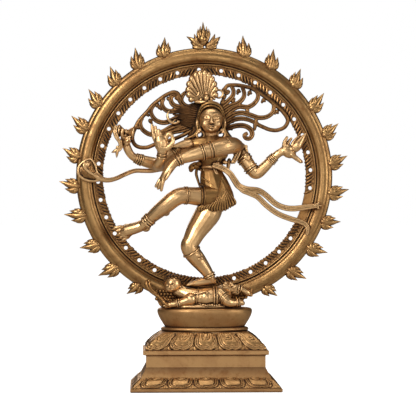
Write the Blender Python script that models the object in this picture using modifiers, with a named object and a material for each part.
"""Brass nataraja: a dancing figure in a ring of flames, on a two-tier lotus pedestal.

Lengths are in millimetres here and become metres through MM.  +Z is up and the figure
faces -Y.  The origin is the middle of the pedestal's underside.
"""
import math

import bmesh
import bpy
from mathutils import Matrix, Vector

MM = 0.001
NAME = "brass_nataraja"

# driving dimensions
GAP = 0.3                   # clearance left between two castings that touch
SWELL = 0.6                 # a neighbour is swollen by this before it cuts
RING_Z = 264.6              # height of the ring's centre
RING_Y = 6.0                # the ring stands a little behind the figure
HOOP_OUTER = 159.4          # radius over the hoop
HOOP_INNER = 137.2
BAND_INNER = 125.8          # radius inside the pierced band
BAND_HALF_DEPTH = 3.0
RING_STEPS = 60
OVAL_STEPS = 32
HOLE_RADIUS = 2.8
HOLE_CIRCLE = 133.4
HOLE_ROWS = ((9.0, 9.72, 10), (125.9, 9.5, 5), (-14.8, -9.8, 15), (-3.0, 0.0, 1))
FLAME_COUNT = 11            # on each side of the finial
FLAME_FIRST = 17.8          # degrees from the top
FLAME_STEP = 13.2
FLAME_LEAN = 18.5           # degrees towards the top
FLAME_THICKNESS = 6.0
TOP_Z = 458.2

PLINTH_W = 92.8             # half width and half depth of the pedestal's foot
PLINTH_D = 62.0
WAIST_W = 73.3
WAIST_D = 42.0
TIER_SPLIT_Z = 43.7         # the upper tier stands on the lower tier here
TIER_TOP_Z = 71.0
TIER_TOP_W = 53.5
TIER_TOP_D = 31.0
WALL = 4.6
LIP_Z = (71.3, 76.3)
LIP_W = 53.2
LIP_D = 31.2
BOWL_Z = (76.6, 98.0)
BOWL_W = 59.0
BOWL_D = 35.0
SEAT_HOLLOW = (33.0, 19.0)  # half width and half depth of the hollow under the bowl
SEAT_ROOF = 6.0             # metal left above that hollow
BOLT_X = 42.0
BOLT_RADIUS = 2.5
BOLT_TOP_Z = 107.0


# ---------------------------------------------------------------- scene and materials

def clear_scene():
    for obj in list(bpy.data.objects):
        bpy.data.objects.remove(obj, do_unlink=True)


def make_collection(name):
    collection = bpy.data.collections.new(name)
    bpy.context.scene.collection.children.link(collection)
    return collection


def brass(name, colour, roughness):
    material = bpy.data.materials.new(name)
    material.use_nodes = True
    shader = material.node_tree.nodes["Principled BSDF"]
    shader.inputs["Base Color"].default_value = (*colour, 1.0)
    shader.inputs["Metallic"].default_value = 1.0
    shader.inputs["Roughness"].default_value = roughness
    material.diffuse_color = (*colour, 1.0)
    return material


FINISHES = {
    "polished": ((0.62, 0.43, 0.20), 0.28),
    "satin": ((0.52, 0.35, 0.15), 0.38),
    "dark": ((0.20, 0.11, 0.05), 0.50),
    "carved": ((0.38, 0.22, 0.09), 0.45),
    "steel": ((0.45, 0.44, 0.42), 0.40),
}


def finish(obj, name, kind):
    """Name a finished part, give it its own material and shade it."""
    colour, roughness = FINISHES[kind]
    obj.name = name
    obj.data.name = name
    obj.data.materials.clear()
    obj.data.materials.append(brass(name, colour, roughness))
    obj.data.shade_smooth()
    obj.data.set_sharp_from_angle(angle=math.radians(50))
    for collection in list(obj.users_collection):
        collection.objects.unlink(obj)
    bpy.data.collections[NAME].objects.link(obj)
    return obj


# ---------------------------------------------------------------- making shapes

def add_object(mesh):
    obj = bpy.data.objects.new(mesh.name, mesh)
    bpy.context.scene.collection.objects.link(obj)
    return obj


def from_bmesh(bm):
    bmesh.ops.recalc_face_normals(bm, faces=bm.faces)
    mesh = bpy.data.meshes.new("shape")
    bm.to_mesh(mesh)
    bm.free()
    return add_object(mesh)


def applied(obj):
    """Replace an object by a plain mesh of its evaluated shape, with loose caps welded."""
    bpy.context.view_layer.update()
    depsgraph = bpy.context.evaluated_depsgraph_get()
    mesh = bpy.data.meshes.new_from_object(obj.evaluated_get(depsgraph))
    bm = bmesh.new()
    bm.from_mesh(mesh)
    bmesh.ops.transform(bm, matrix=obj.matrix_world, verts=bm.verts)
    bmesh.ops.remove_doubles(bm, verts=bm.verts, dist=1e-6)
    bm.to_mesh(mesh)
    bm.free()
    bpy.data.objects.remove(obj, do_unlink=True)
    return add_object(mesh)


def smooth_path(points, steps):
    """Points of a Catmull-Rom curve through the given points; each is (x, y, z, radius)."""
    knots = [points[0], *points, points[-1]]
    path = []
    for a, b, c, d in zip(knots, knots[1:], knots[2:], knots[3:]):
        for step in range(steps):
            t = step / steps
            path.append([0.5 * (2 * q + (r - p) * t + (2 * p - 5 * q + 4 * r - s) * t * t
                                + (3 * q - p - 3 * r + s) * t ** 3)
                         for p, q, r, s in zip(a, b, c, d)])
    path.append(list(points[-1]))
    return path


def tube(points, steps=2, resolution=2, flat=1.0):
    """A capped tube through (x, y, z, radius) points, flattened front to back by flat."""
    path = smooth_path(points, steps)
    curve = bpy.data.curves.new("tube", "CURVE")
    curve.dimensions = "3D"
    curve.bevel_depth = MM
    curve.bevel_resolution = resolution
    curve.use_fill_caps = True
    spline = curve.splines.new("POLY")
    spline.points.add(len(path) - 1)
    middle = sum(p[1] for p in path) / len(path)
    for point, (x, y, z, radius) in zip(spline.points, path):
        point.co = (x * MM, (middle + (y - middle) / flat) * MM, z * MM, 1.0)
        point.radius = radius
    obj = applied(add_object(curve))
    for vertex in obj.data.vertices:
        vertex.co.y = middle * MM + (vertex.co.y - middle * MM) * flat
    return obj


def ball(centre, radii, turn=0.0):
    """An ellipsoid with radii (x, y, z), turned about Y by turn degrees."""
    bm = bmesh.new()
    bmesh.ops.create_uvsphere(bm, u_segments=16, v_segments=10, radius=1.0)
    size = Matrix.Diagonal([r * MM for r in radii]).to_4x4()
    place = Matrix.Translation(Vector(centre) * MM)
    spin = Matrix.Rotation(math.radians(turn), 4, "Y")
    bmesh.ops.transform(bm, matrix=place @ spin @ size, verts=bm.verts)
    return from_bmesh(bm)


def plate(outline, y, thickness):
    """A flat piece in the XZ plane with the given (x, z) outline, centred on y."""
    curve = bpy.data.curves.new("plate", "CURVE")
    curve.dimensions = "2D"
    curve.fill_mode = "BOTH"
    curve.extrude = thickness / 2 * MM
    spline = curve.splines.new("POLY")
    spline.points.add(len(outline) - 1)
    for point, (x, z) in zip(spline.points, outline):
        point.co = (x * MM, z * MM, 0.0, 1.0)
    spline.use_cyclic_u = True
    obj = add_object(curve)
    obj.rotation_euler.x = math.pi / 2
    obj.location.y = y * MM
    return applied(obj)


def stepped_block(levels):
    """A rectangular block whose (z, half width, half depth) levels run from the bottom up."""
    bm = bmesh.new()
    z, w, d = levels[0]
    corners = [(-w, -d), (w, -d), (w, d), (-w, d)]
    face = bm.faces.new([bm.verts.new((x * MM, y * MM, z * MM)) for x, y in corners])
    for (z0, w0, d0), (z1, w1, d1) in zip(levels, levels[1:]):
        below = face
        top = bmesh.ops.extrude_face_region(bm, geom=[below], use_keep_orig=True)["geom"]
        face = next(g for g in top if isinstance(g, bmesh.types.BMFace))
        if z0 != levels[0][0]:
            bmesh.ops.delete(bm, geom=[below], context="FACES_ONLY")
        for vertex in face.verts:
            vertex.co = (vertex.co.x * w1 / w0, vertex.co.y * d1 / d0, z1 * MM)
    return from_bmesh(bm)


def turned(profile, steps, axis="Z", closed=False):
    """Turn a profile of (radius, height) points about an axis, top to bottom."""
    bm = bmesh.new()
    if axis == "Z":
        verts = [bm.verts.new((r * MM, 0.0, h * MM)) for r, h in profile]
    else:
        verts = [bm.verts.new((r * MM, h * MM, 0.0)) for r, h in profile]
    pairs = list(zip(verts, verts[1:]))
    if closed:
        pairs.append((verts[-1], verts[0]))
    for a, b in pairs:
        bm.edges.new((a, b))
    mesh = bpy.data.meshes.new("profile")
    bm.to_mesh(mesh)
    bm.free()
    obj = add_object(mesh)
    screw = obj.modifiers.new("turn", "SCREW")
    screw.axis = axis
    screw.steps = steps
    screw.render_steps = steps
    screw.use_merge_vertices = True
    screw.merge_threshold = 0.00001
    obj = applied(obj)
    bm = bmesh.new()
    bm.from_mesh(obj.data)
    bmesh.ops.recalc_face_normals(bm, faces=bm.faces)
    bm.to_mesh(obj.data)
    bm.free()
    return obj


def moved(obj, matrix):
    obj.data.transform(matrix)
    return obj


def shift(x, y, z):
    return Matrix.Translation(Vector((x, y, z)) * MM)


def turn_y(degrees):
    return Matrix.Rotation(math.radians(degrees), 4, "Y")


def rod(x, y, z0, z1, radius, segments=12):
    bm = bmesh.new()
    bmesh.ops.create_cone(bm, cap_ends=True, segments=segments, radius1=radius * MM,
                          radius2=radius * MM, depth=(z1 - z0) * MM)
    bmesh.ops.translate(bm, verts=bm.verts, vec=Vector((x, y, (z0 + z1) / 2)) * MM)
    return from_bmesh(bm)


# ---------------------------------------------------------------- joining and fitting

def cut(obj, cutter):
    """Subtract the cutter, then drop it."""
    bpy.data.collections["cutters"].objects.link(cutter)
    cutter.hide_render = True
    cutter.display_type = "WIRE"
    boolean = obj.modifiers.new("cut", "BOOLEAN")
    boolean.operation = "DIFFERENCE"
    boolean.solver = "EXACT"
    boolean.object = cutter
    result = applied(obj)
    bpy.data.objects.remove(cutter, do_unlink=True)
    return result


def merged(shapes, voxel, triangles):
    """Melt overlapping shapes into one closed body of about so many triangles."""
    first = shapes[0]
    bm = bmesh.new()
    for shape in shapes:
        bm.from_mesh(shape.data)
    bm.to_mesh(first.data)
    bm.free()
    for shape in shapes[1:]:
        bpy.data.objects.remove(shape, do_unlink=True)
    remesh = first.modifiers.new("melt", "REMESH")
    remesh.mode = "VOXEL"
    remesh.voxel_size = voxel * MM
    first = applied(first)
    decimate = first.modifiers.new("thin out", "DECIMATE")
    decimate.ratio = min(1.0, triangles / (2 * len(first.data.polygons)))
    return applied(first)


def main_body(obj):
    """Keep only the largest body of a mesh; bodies that only meet along an edge count as two."""
    bm = bmesh.new()
    bm.from_mesh(obj.data)
    bodies = []
    done = set()
    for seed in bm.faces:
        if seed in done:
            continue
        body = [seed]
        done.add(seed)
        for face in body:
            near = {other for edge in face.edges if len(edge.link_faces) == 2
                    for other in edge.link_faces} - done
            body.extend(near)
            done |= near
        bodies.append(body)
    for body in sorted(bodies, key=len)[:-1]:
        bmesh.ops.delete(bm, geom=body, context="FACES")
    bm.to_mesh(obj.data)
    bm.free()
    return obj


def fitted(obj, *neighbours):
    """Cut a casting back so that it just clears each neighbour."""
    for neighbour in neighbours:
        swollen = add_object(neighbour.data.copy())
        bpy.context.scene.collection.objects.unlink(swollen)
        normals = [v.normal.copy() for v in swollen.data.vertices]
        for vertex, normal in zip(swollen.data.vertices, normals):
            vertex.co += normal * SWELL * MM
        obj = main_body(cut(obj, swollen))
    return obj


# ---------------------------------------------------------------- pedestal

def build_pedestal():
    lower = stepped_block([(0, PLINTH_W, PLINTH_D), (4.6, PLINTH_W, PLINTH_D),
                           (5.4, PLINTH_W - 1.4, PLINTH_D - 1.4),
                           (13.6, 83.8, 53.0), (22.0, WAIST_W, WAIST_D),
                           (TIER_SPLIT_Z, WAIST_W, WAIST_D)])
    inside_w, inside_d = WAIST_W - WALL, WAIST_D - WALL
    hollow = stepped_block([(-5, PLINTH_W - 5, PLINTH_D - 5), (4, PLINTH_W - 5, PLINTH_D - 5),
                            (18, inside_w, inside_d), (60, inside_w, inside_d)])
    lower = finish(cut(lower, hollow), "pedestal_lower_tier", "satin")

    base = TIER_SPLIT_Z + GAP
    upper = stepped_block([(base, 76.4, 45.2), (44.8, 77.2, 46.0), (49.6, 77.2, 46.0),
                           (50.6, 75.0, 43.8), (54.5, 73.4, 42.8), (59.5, 69.5, 40.2),
                           (65.0, 63.4, 36.4), (69.0, 57.4, 33.0),
                           (TIER_TOP_Z, TIER_TOP_W, TIER_TOP_D)])
    hollow = stepped_block([(40, inside_w, inside_d), (50, inside_w, inside_d),
                            (66.6, 49.0, 26.6)])
    upper = cut(upper, hollow)
    lip = oval([(LIP_W - 1.0, LIP_Z[1]), (LIP_W, LIP_Z[1] - 1.0), (LIP_W, LIP_Z[0] + 1.0),
                (LIP_W - 1.0, LIP_Z[0])], LIP_D / LIP_W)
    low, high = BOWL_Z
    bowl = oval([(BOWL_W - 3.0, high), (BOWL_W - 0.8, high - 1.2), (BOWL_W, high - 3.6),
                 (BOWL_W - 1.6, high - 8.5), (BOWL_W - 4.8, high - 14.5),
                 (BOWL_W - 8.6, low + 1.4), (BOWL_W - 9.4, low)], BOWL_D / BOWL_W)
    ceiling = high - SEAT_ROOF
    upper = cut(upper, oval_hollow(TIER_SPLIT_Z, ceiling))
    lip = cut(lip, oval_hollow(TIER_SPLIT_Z, ceiling))
    bowl = cut(bowl, oval_hollow(TIER_SPLIT_Z, ceiling))
    for x in (-BOLT_X, BOLT_X):
        upper = cut(upper, bolt_hole(x))
        lip = cut(lip, bolt_hole(x))
        bowl = cut(bowl, bolt_hole(x))
    finish(upper, "pedestal_upper_tier", "satin")
    finish(lip, "pedestal_lip", "satin")
    return finish(bowl, "bowl_seat", "satin")


def oval(profile, ratio):
    """A solid turned from the profile's top to its bottom, narrowed front to back."""
    points = [(0.0, profile[0][1]), *profile, (0.0, profile[-1][1])]
    return moved(turned(points, OVAL_STEPS), Matrix.Diagonal((1.0, ratio, 1.0, 1.0)))


def bolt_hole(x):
    return rod(x, RING_Y, TIER_SPLIT_Z, BOLT_TOP_Z, BOLT_RADIUS + GAP)


def oval_hollow(z0, z1):
    half_w, half_d = SEAT_HOLLOW
    return moved(rod(0, 0, z0, z1, half_w, 20), Matrix.Diagonal((1.0, half_d / half_w, 1.0, 1.0)))


def build_bolts():
    """Two hexagon-head bolts hold the ring's feet down on the bowl and the upper tier."""
    for side, x in (("left", -BOLT_X), ("right", BOLT_X)):
        head = turned([(0, BOLT_TOP_Z - 1), (BOLT_RADIUS, BOLT_TOP_Z - 1), (BOLT_RADIUS, 66.2),
                       (4.4, 66.2), (4.4, 62.6), (0, 62.6)], 12)
        finish(moved(head, shift(x, RING_Y, 0)), f"fixing_bolt_{side}", "steel")


# ---------------------------------------------------------------- ring of flames

def build_hoop():
    section = [(HOOP_OUTER, 4.5), (HOOP_OUTER - 0.4, -2.5), (155.6, -5.8), (149.6, -6.5),
               (143.4, -4.6), (140.4, -2.0), (139.2, -3.6), (137.8, -3.2), (HOOP_INNER, -2.2),
               (HOOP_INNER, 4.5), (148.0, 6.2)]
    hoop = turned(section, RING_STEPS, axis="Y", closed=True)
    return finish(moved(hoop, shift(0, RING_Y, RING_Z)), "ring_hoop", "satin")


def build_pierced_band():
    outer = HOOP_INNER - GAP
    depth = BAND_HALF_DEPTH
    section = [(outer, depth), (outer, -depth), (BAND_INNER, -depth), (BAND_INNER, depth)]
    band = turned(section, RING_STEPS, axis="Y", closed=True)
    drill = bmesh.new()
    for angle in (start + step * i for start, step, count in HOLE_ROWS for i in range(count)):
        place = turn_y(angle) @ shift(0, 0, HOLE_CIRCLE) @ Matrix.Rotation(math.pi / 2, 4, "X")
        bmesh.ops.create_cone(drill, cap_ends=True, segments=6, radius1=HOLE_RADIUS * MM,
                              radius2=HOLE_RADIUS * MM, depth=20 * MM, matrix=place)
    band = cut(band, from_bmesh(drill))
    return finish(moved(band, shift(0, RING_Y, RING_Z)), "ring_pierced_band", "carved")


def flame_outline(height, half_width):
    """Half of a leaf with a long middle tongue and two shorter side tongues, then its mirror."""
    side = [(0.44, 0.0), (0.62, 0.16), (1.0, 0.34), (0.66, 0.38), (0.86, 0.66), (0.38, 0.55)]
    right = [(x * half_width, z * height) for x, z in side]
    left = [(-x, z) for x, z in reversed(right)]
    return [*right, (0.0, height), *left]


def build_flames():
    base = HOOP_OUTER + GAP
    lean = math.tan(math.radians(FLAME_LEAN))
    for number in range(FLAME_COUNT):
        angle = FLAME_FIRST + FLAME_STEP * number
        for side, sign in (("left", -1), ("right", 1)):
            outline = [(x - sign * lean * z, z) for x, z in flame_outline(18.6, 8.2)]
            flame = plate(outline, RING_Y, FLAME_THICKNESS)
            place = shift(0, 0, RING_Z) @ turn_y(sign * angle) @ shift(0, 0, base)
            finish(moved(flame, place), f"flame_{side}_{number + 1:02d}", "polished")


def build_finial():
    base = RING_Z + HOOP_OUTER + GAP
    height = TOP_Z - base
    side = [(13.5, 0.0), (15.5, 5.0), (21.0, 14.5), (12.5, 11.5), (13.0, 21.0), (6.0, 15.0),
            (4.5, 24.0)]
    outline = [*side, (0.0, height), *[(-x, z) for x, z in reversed(side)]]
    finial = plate([(x, base + z) for x, z in outline], RING_Y, 8.0)
    return finish(finial, "flame_top", "polished")


def build_ring_feet(*neighbours):
    """Carved blocks that carry the hoop; a blind hole in each takes its bolt."""
    for side, sign in (("left", -1), ("right", 1)):
        outline = [(sign * x, z) for x, z in ((34, 98.3), (57, 98.3), (62, 111.6), (60, 123.6), (48, 121.6),
                                              (36, 115.6))]
        foot = plate(outline, RING_Y, 15.0)
        foot = cut(foot, bolt_hole(sign * BOLT_X))
        finish(fitted(foot, *neighbours), f"ring_foot_{side}", "carved")


# ---------------------------------------------------------------- figure

def build_torso():
    shapes = [tube([(6.5, -13, 259.6, 11.5), (6.5, -13, 268.6, 12.0), (7.0, -14, 279.6, 15.0),
                    (8.0, -14, 291.6, 21.0), (8.5, -13, 302.6, 20.0), (8.0, -13, 309.6, 12.0)],
                   resolution=4, flat=0.66),
              tube([(-22, -12, 301.6, 7.0), (-8, -13, 304.6, 9.0), (8, -13, 304.6, 9.5),
                    (24, -13, 304.6, 9.0), (37, -12, 300.6, 7.5)]),
              tube([(7.2, -14, 301.6, 7.5), (7.2, -14.5, 311.6, 6.3), (7.2, -15, 322.6, 6.0)])]
    return finish(merged(shapes, 1.0, 393.6), "torso", "polished")


def build_skirt(torso):
    shape = tube([(6.5, -14, 267.6, 13.4), (9.5, -14.5, 259.6, 16.0), (13.0, -15, 247.6, 19.8),
                  (14.5, -16, 235.6, 22.0), (14.8, -16, 224.6, 21.0)], resolution=5, flat=0.78)
    thigh_wrap = tube([(18, -20, 238.6, 13.0), (4, -23, 238.6, 13.4), (-3, -24.5, 238.6, 13.2)],
                      resolution=4)
    skirt = merged([shape, thigh_wrap], 1.0, 340)
    return finish(fitted(skirt, torso), "skirt", "carved")


def build_head(torso):
    shapes = [ball((7.2, -18, 335.1), (12.2, 12.5, 17.6)),
              ball((7.2, -11, 339.6), (15.8, 13.0, 19.5)),
              tube([(-6, -12, 333.6, 4.0), (-9.5, -13, 323.6, 3.2), (-15, -13, 315.6, 2.8),
                    (-21, -13, 311.6, 2.4)]),
              tube([(20, -12, 333.6, 4.0), (23.5, -13, 323.6, 3.2), (29, -13, 313.6, 2.8),
                    (34, -13, 308.6, 2.4)])]
    return finish(fitted(merged(shapes, 0.9, 393.6), torso), "head", "polished")


def build_crown(head):
    """A ribbed shell-shaped crest that spreads from behind the headband."""
    fan = [(-7.5, 355.6), (-17.0, 362.6), (-21.5, 370.6), (-23.2, 378.6), (-22.4, 385.6),
           (-20.2, 391.1), (-16.8, 395.6), (-11.0, 397.2), (-5.0, 398), (1.0, 397.6),
           (5.2, 396), (8.8, 390.6), (12.0, 385.1), (14.4, 377.6), (14.6, 369.6),
           (12.5, 355.6)]
    crown = plate(fan, -11.0, 9.0)
    return finish(fitted(crown, head), "crown_fan", "polished")


HAIR_Y = -1.0
LOCK = 2.1                  # radius of a lock of hair


def lock(points, y0=HAIR_Y, y1=HAIR_Y, radius=LOCK):
    """A lock of hair through (x, z) points; its depth runs evenly from y0 to y1."""
    last = len(points) - 1
    return tube([(x, y0 + (y1 - y0) * i / last, z, radius) for i, (x, z) in enumerate(points)],
                resolution=1)


def build_hair_left(*neighbours):
    rim = [(-88.6, 310.6), (-89, 320.6), (-83.8, 334.5), (-77.1, 341), (-68.4, 351.5),
           (-55.1, 361), (-47.9, 366.7), (-37.9, 369.6), (-31.8, 365.2), (-33.8, 360.2)]
    locks = [[(-12, 353.6), (-28.8, 351), (-38, 354.6), (-43.6, 359.1), (-43.4, 365.1)],
             [(-16, 345.6), (-33.6, 347.6), (-47.5, 344.7), (-53.6, 349.5), (-56.5, 358.6)],
             [(-16, 336.6), (-32, 332.6), (-45.9, 332.4), (-57.5, 332.4), (-64.6, 337),
              (-69, 348.6)],
             [(-16, 327.6), (-34, 324.6), (-50, 319.6), (-67.1, 316.5), (-75.3, 317), (-80.5, 324.5),
              (-83, 332.6)],
             [(-16, 321.6), (-34, 315.6), (-48, 309.6), (-64.3, 304.5), (-76.5, 301),
              (-84.9, 303.2), (-88.8, 311.6)]]
    mass = [ball((-19, HAIR_Y - 0.5, 338.6), (14.5, 3.6, 23)), ball((-30, HAIR_Y, 333.6), (10, 3, 17))]
    buds = [ball((x, HAIR_Y, z), (2.6, 2.6, 3.0)) for x, z in
            ((-45.3, 362.1), (-57.8, 356.6), (-70.0, 345.6), (-82.5, 331.6), (-33.6, 347.6))]
    hair = merged([lock(rim), *[lock(points) for points in locks], *mass, *buds], 0.8, 900)
    return finish(fitted(hair, *neighbours), "hair_left", "dark")


def build_hair_right(*neighbours):
    edge_y = RING_Y - BAND_HALF_DEPTH - GAP - LOCK - 0.4   # the rim just reaches the band
    rim = [(28, 368.1), (25.4, 372.1), (29, 377.2), (37.3, 378.6), (53.9, 376.7),
           (70.4, 368.4), (87, 358.5), (98.6, 347), (106.6, 335.2), (102.6, 327.6),
           (90.4, 321.1), (76, 323.6), (62.9, 328.1), (50, 333.1), (34, 333.1), (20, 328.6)]
    locks = [[(16, 353.6), (22.4, 354.6), (35.3, 363.2), (39.8, 370.1), (39.0, 377.6)],
             [(18, 342.6), (27.4, 345.7), (37.4, 352.5), (51.4, 360.7), (54.5, 368.6),
              (54.5, 375.6)],
             [(18, 335.6), (25.1, 338.5), (37.4, 347), (51.4, 348.5), (59.8, 352.5),
              (67, 359.1), (70.2, 367.6)],
             [(18, 331.6), (26.3, 334.2), (37.4, 340.7), (48.6, 342), (65.4, 339.1),
              (78.8, 337), (90.4, 343.5), (92.0, 353.1)],
             [(18, 321.6), (27.9, 324.6), (42.9, 327.6), (54.1, 325.7), (59.4, 320.1),
              (60.2, 313.4), (54.1, 310.2), (49.6, 314.5)]]
    ties = [[(36.6, 353.6), (36.6, 362.6)], [(49.8, 339.6), (49.8, 350.6)], [(63.4, 318.6), (62.4, 340.6)]]
    crest = [(14, 357.6), (20, 361.6), (23, 367.6), (20, 374.6), (13, 375.1)]
    buds = [ball((x, HAIR_Y, z), (2.6, 2.6, 3.0)) for x, z in
            ((41.0, 372.6), (54.8, 371.6), (71.0, 362.6), (91.5, 347.6), (42.9, 355.6))]
    strands = [lock(points) for points in [*locks, *ties, crest]]
    hair = merged([lock(rim[:9], HAIR_Y, edge_y), lock(rim[8:], edge_y, HAIR_Y), *strands, *buds],
                  0.8, 1100)
    return finish(fitted(hair, *neighbours), "hair_right", "dark")


def build_crescent():
    points = []
    for step in range(9):
        angle = math.radians(70 + 200 * step / 8)
        points.append((-36.6 + 6.4 * math.cos(angle), -7.2, 339.0 + 6.4 * math.sin(angle),
                       0.5 + 1.2 * math.sin(math.pi * step / 8)))
    return finish(tube(points, steps=1), "crescent_moon", "polished")


def build_earrings(*neighbours):
    for side, x in (("left", -5.6), ("right", 20.0)):
        ring = turned([(3.5 + 1.1 * math.cos(a), 1.1 * math.sin(a)) for a in
                       (math.radians(90 * i) for i in range(4))], 10, axis="Y", closed=True)
        ring = moved(ring, shift(x, -24.5, 315.1))
        finish(fitted(ring, *neighbours), f"earring_{side}", "polished")


# ---------------------------------------------------------------- arms and what they hold

def build_crossing_arm(*neighbours):
    """The forward arm crosses the chest and its hand hangs down over the raised leg."""
    arm = [(40, -14, 302.6, 8.0), (30, -25, 301.1, 10.2), (12, -35, 297.1, 10.0), (-2, -38, 293.4, 9.2),
           (-18, -40, 289.1, 8.2), (-33, -41, 284.1, 6.6), (-42, -41, 276.6, 6.2),
           (-50, -40, 265.6, 5.6), (-56, -39, 253.6, 3.6), (-58.5, -38, 247.6, 2.2)]
    thumb = [(-40, -41, 276.6, 3.2), (-46, -45, 265.6, 2.4), (-49, -45, 257.6, 2.0)]
    return finish(fitted(merged([tube(arm, resolution=3), tube(thumb)], 1.0, 320), *neighbours),
                  "front_arm_crossing", "polished")


def build_raised_arm(torso):
    """The other forward arm bends forward at the elbow with its palm raised."""
    arm = [(-24, -14, 302.6, 7.5), (-38, -16, 294.6, 7.6), (-50, -19, 284.6, 7.4), (-58, -24, 278.1, 7.2),
           (-57, -34, 280.6, 6.6), (-53, -43, 287.6, 5.6), (-52.5, -45, 295.6, 5.6)]
    palm = tube([(-52.5, -45, 293.6, 6.0), (-53, -45, 302.6, 8.0), (-55, -45, 311.6, 8.0)], flat=0.5)
    fingers = [tube([(x0, -45, 309.6, 2.3), (x1, -45.5, z1, 1.6)]) for x0, x1, z1 in
               ((-60, -64, 323.6), (-57, -61, 328.6), (-54, -57.5, 326.6), (-50.5, -52.5, 320.6))]
    thumb = tube([(-48, -46, 301.6, 2.6), (-43, -48, 309.6, 2.3), (-42, -48, 316.1, 1.7)])
    shape = merged([tube(arm, resolution=3), palm, thumb, *fingers], 0.9, 440)
    return finish(fitted(shape, torso), "front_arm_raised", "polished")


def build_drum():
    half = 10.2
    profile = [(0.0, half), (7.0, half), (8.0, half - 1.0), (7.4, half - 3.0), (3.2, 1.2),
               (3.2, -1.2), (7.4, 3.0 - half), (8.0, 1.0 - half), (7.0, -half), (0.0, -half)]
    drum = moved(turned(profile, 16), shift(-98.5, -11.8, 318.6) @ turn_y(98))
    return finish(drum, "hand_drum", "polished")


def build_drum_ribbons(*neighbours):
    ribbon = [(-113, -21, 324.6, 1.5), (-110.5, -21, 314.6, 2.0), (-106.6, -20, 306.6, 2.1),
              (-107.5, -19, 298.6, 2.0), (-112.6, -18.5, 293.2, 1.4)]
    tail = [(-107, -19.8, 303.6, 1.9), (-105.5, -19, 295.6, 1.9), (-107, -18.5, 287.2, 1.4)]
    shape = merged([tube(ribbon), tube(tail)], 0.7, 150)
    return finish(fitted(shape, *neighbours), "drum_ribbons", "polished")


def build_drum_arm(*neighbours):
    arm = [(-20, -6, 299.6, 7.2), (-36, -3, 290.6, 7.6), (-50, -1, 281.6, 7.4), (-60, -1, 278.1, 7.0),
           (-74, -4, 282.6, 6.6), (-88, -8, 288.1, 5.2), (-95, -11, 292.6, 5.0), (-99, -11.8, 301.6, 5.6),
           (-100, -11.8, 309.6, 5.0)]
    grip = [tube([(-104, y, 305.6, 2.2), (-103, y, 314.6, 2.0), (-99, y + 0.4, 320.6, 1.7)])
            for y in (-16.8, -6.8)]
    shape = merged([tube(arm, resolution=3), *grip], 1.0, 340)
    return finish(fitted(shape, *neighbours), "rear_arm_drum", "polished")


def build_flame_arm(*neighbours):
    arm = [(40, -1, 299.6, 6.0), (47, -3, 292.6, 7.2), (55, -6, 281.6, 7.6), (61.5, -6, 268.6, 7.0),
           (66, -6, 266.6, 6.8), (78, -6, 276.6, 6.0), (88, -7, 287.6, 4.8), (97, -8, 294.6, 4.6),
           (104, -8, 292.6, 4.4)]
    palm = tube([(98, -8, 294.6, 4.4), (108, -8, 291.6, 4.0), (118, -8, 285.6, 2.4)], flat=0.9)
    fingers = [tube([(x0, -8, 293.6, 2.4), (x1, -8, z1, 1.8)]) for x0, x1, z1 in
               ((98, 100, 311.6), (102, 105.5, 307.6))]
    shape = merged([tube(arm, resolution=3), palm, *fingers], 1.0, 340)
    return finish(fitted(shape, *neighbours), "rear_arm_flame", "polished")


def build_palm_flame(*neighbours):
    outline = [(106.5, 297.1), (112.5, 295.1), (118.0, 299.1), (120.5, 305.1), (121.5, 310.6),
               (126.6, 318.2), (116.5, 313.6), (110.0, 307.6), (106.0, 302.1)]
    flame = plate(outline, -7.0, 6.0)
    return finish(fitted(flame, *neighbours), "palm_flame", "polished")


# ---------------------------------------------------------------- legs

def build_raised_leg(skirt):
    leg = [(8, -21, 238.6, 11.2), (-6, -24, 238.6, 11.2), (-22, -30, 239.6, 10.2), (-34, -34, 238.1, 9.6),
           (-48, -32, 227.6, 9.4), (-62, -28, 215.6, 8.2), (-76, -22, 204.6, 6.0), (-80, -20, 199.1, 5.6)]
    foot = [(-78, -20, 200.6, 6.0), (-88, -17, 195.6, 5.0), (-98, -13, 192.6, 4.6),
            (-108, -9.5, 189.6, 3.2), (-112, -8, 188.6, 2.4)]
    heel = ball((-76, -18, 197.6), (5.0, 5.0, 4.6))
    shape = merged([tube(leg, resolution=4), tube(foot, resolution=3), heel], 1.0, 340)
    return finish(fitted(shape, skirt), "raised_leg", "polished")


def build_standing_leg(*neighbours):
    leg = [(13, -15, 231.6, 17.0), (5, -16, 216.6, 16.6), (-8, -18, 199.6, 13.6), (-20, -21, 182.1, 10.6),
           (-17, -20, 170.6, 10.4), (-9, -17, 158.6, 9.6), (-1, -15, 147.6, 7.6), (5, -14, 138.6, 6.2),
           (6.5, -14, 133.6, 6.0)]
    foot = [(8, -13, 134.6, 5.4), (0, -15, 133.6, 5.2), (-10, -17, 131.1, 4.2), (-19, -18.5, 130.1, 3.0)]
    shape = merged([tube(leg, resolution=4), tube(foot, resolution=3)], 1.0, 320)
    return finish(fitted(shape, *neighbours), "standing_leg", "polished")


# ---------------------------------------------------------------- dwarf, snakes and sash

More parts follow.
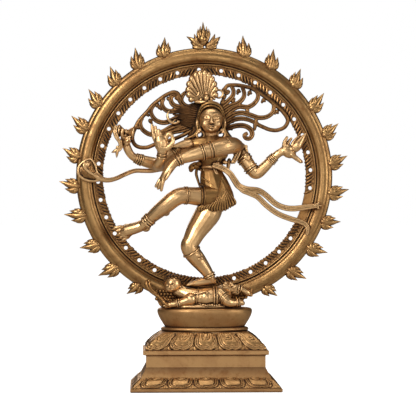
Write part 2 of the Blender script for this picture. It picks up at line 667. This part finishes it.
def build_dwarf(bowl):
    shapes = [tube([(-30, -17, 118.6, 7.0), (-22, -17, 114.6, 11.0), (-4, -17, 114.6, 12.2),
                    (14, -17, 114.6, 11.6), (26, -16, 115.6, 9.6)], resolution=4),
              ball((-4, -17, 102.0), (36.0, 12.0, 5.6)),
              ball((-21, -25, 110.6), (9.0, 8.4, 8.8)), ball((0, -24, 113.6), (8.6, 8.0, 9.6)),
              tube([(-24, -26, 108.6, 5.0), (-36, -23, 106, 4.8), (-48, -20, 104.6, 3.8)]),
              tube([(22, -18, 118.6, 8.6), (30, -22, 111.6, 8.2), (34, -23, 107.1, 6.2),
                    (42, -19, 105.6, 4.2)]),
              tube([(24, -12, 120.6, 6.4), (38, -8.5, 121.6, 4.6), (50, -7.5, 121.1, 4.0),
                    (56, -7.0, 119.1, 3.0)])]
    return finish(fitted(merged(shapes, 1.0, 633.6), bowl), "dwarf_body", "polished")


def build_dwarf_head(dwarf):
    shapes = [ball((-40, -18, 128.2), (10.6, 10.8, 11.0)), ball((-39, -13, 131.6), (9.0, 8.2, 8.4))]
    return finish(fitted(merged(shapes, 0.9, 173.6), dwarf), "dwarf_head", "polished")


def build_small_snake(*neighbours):
    snake = [(-44, -13, 110.6, 2.6), (-52, -10, 112.6, 2.8), (-59, -7.5, 118.6, 3.0), (-66, -5.5, 125.6, 3.2),
             (-70, -5.0, 132.6, 3.4), (-72, -5.0, 137.1, 2.0)]
    return finish(fitted(tube(snake), *neighbours), "small_snake", "carved")


def build_cobra(*neighbours):
    body = [(-57, 9.5, 271.1, 2.8), (-66, 10, 269.2, 2.9), (-76, 10, 268.8, 2.9), (-90, 8.5, 270.2, 2.8),
            (-100, 3.5, 266.1, 2.7), (-108, -2.0, 262.6, 2.7), (-118, -5, 261.6, 2.8),
            (-128, -6, 261.6, 3.0), (-137, -6, 264.6, 4.0)]
    hood = [ball((-146, -6.2, 272.6), (12.4, 3.4, 9.6), turn=35),
            ball((-153, -7.0, 280.6), (5.6, 3.6, 4.4), turn=35)]
    shape = merged([tube(body), *hood], 0.9, 320)
    return finish(fitted(shape, *neighbours), "cobra", "polished")


def build_sash(*neighbours):
    """Two ribbons fly from the waist to the ring and share their first stretch."""
    upper = [(10, -26, 277.6, 3.2), (20, -26, 274.1, 3.2), (30, -22, 268.6, 3.2), (39, -16, 255.1, 3.2),
             (50, -11, 249.1, 3.2), (68, -8, 246.6, 3.0), (78, -7, 239.1, 3.0), (91, -6, 227.6, 3.0),
             (105, -5.4, 224.4, 2.9), (123, -4.6, 225.4, 2.8), (141, -4.2, 226.9, 2.4)]
    lower = [(46, -12, 244.1, 2.6), (56, -10, 240.8, 2.9), (66, -8, 237.1, 3.0), (77, -7, 227.6, 3.0),
             (91, -6, 217.6, 3.0), (109, -5, 210.6, 2.9), (123, -4.6, 206.1, 2.8),
             (129.5, -4.4, 200.1, 2.6), (127, -4.4, 192, 2.0)]
    first = finish(fitted(tube(upper), *neighbours), "sash_upper", "polished")
    finish(fitted(tube(lower), first), "sash_lower", "polished")


def build_knot(*neighbours):
    shape = merged([ball((-14, -18, 274.6), (6.0, 6.0, 5.4)), ball((-9, -20, 277.6), (7.0, 5.0, 4.6))],
                   0.8, 140)
    return finish(fitted(shape, *neighbours), "waist_knot", "carved")


# ---------------------------------------------------------------- assembly

def build_statue():
    clear_scene()
    make_collection(NAME)
    make_collection("cutters")
    bowl = build_pedestal()
    build_bolts()
    hoop = build_hoop()
    band = build_pierced_band()
    build_flames()
    build_finial()
    dwarf = build_dwarf(bowl)
    build_dwarf_head(dwarf)
    build_ring_feet(hoop, band, dwarf)
    feet = [bpy.data.objects[f"ring_foot_{side}"] for side in ("left", "right")]
    build_small_snake(dwarf, feet[0])

    torso = build_torso()
    skirt = build_skirt(torso)
    raised_leg = build_raised_leg(skirt)
    build_standing_leg(skirt, dwarf, raised_leg)
    head = build_head(torso)
    crown = build_crown(head)
    build_earrings(head, torso)
    build_hair_left(head, crown, torso)
    build_hair_right(head, crown, torso)
    build_crescent()

    crossing = build_crossing_arm(torso, head)
    raised = build_raised_arm(torso)
    drum = build_drum()
    drum_arm = build_drum_arm(torso, raised, drum)
    build_drum_ribbons(drum, drum_arm)
    flame_arm = build_flame_arm(torso, crossing)
    build_palm_flame(flame_arm)
    knot = build_knot(torso, crossing)
    build_cobra(drum_arm)
    build_sash(torso, skirt, knot)


build_statue()
